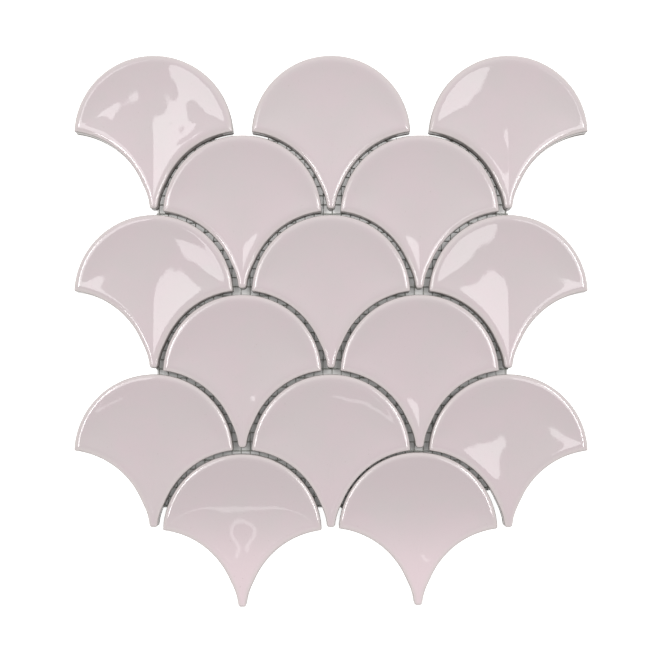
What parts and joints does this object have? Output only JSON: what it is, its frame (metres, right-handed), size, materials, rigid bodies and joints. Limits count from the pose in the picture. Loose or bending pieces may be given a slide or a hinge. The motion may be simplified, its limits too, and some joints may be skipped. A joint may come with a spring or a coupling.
{
  "type": "mosaic tile sheet",
  "caption": "Sheet of glazed fan-shaped (fish-scale) mosaic chips laid in staggered rows on a square fibre net, for covering walls and floors.",
  "frame": {"origin": "middle of the sheet's outline, on the back of the net", "axes": "+X along the rows, +Y from the chips' tips towards their crowns, +Z out of the glazed face"},
  "size_m": [0.2732, 0.2935, 0.0064],
  "materials": {
    "pink_glaze": "gloss",
    "fibre_net": "matte"
  },
  "bodies": {
    "root": {"fan_row1_left": "pink_glaze", "fan_row1_middle": "pink_glaze", "fan_row1_right": "pink_glaze", "fan_row2_left": "pink_glaze", "fan_row2_right": "pink_glaze", "fan_row3_left": "pink_glaze", "fan_row3_middle": "pink_glaze", "fan_row3_right": "pink_glaze", "fan_row4_left": "pink_glaze", "fan_row4_right": "pink_glaze", "fan_row5_left": "pink_glaze", "fan_row5_middle": "pink_glaze", "fan_row5_right": "pink_glaze", "fan_row6_left": "pink_glaze", "fan_row6_right": "pink_glaze", "net_panel_1_1": "fibre_net", "net_panel_1_2": "fibre_net", "net_panel_2_1": "fibre_net", "net_panel_2_2": "fibre_net", "net_panel_3_1": "fibre_net", "net_panel_3_2": "fibre_net", "net_panel_4_1": "fibre_net", "net_panel_4_2": "fibre_net"}
  },
  "joints": []
}
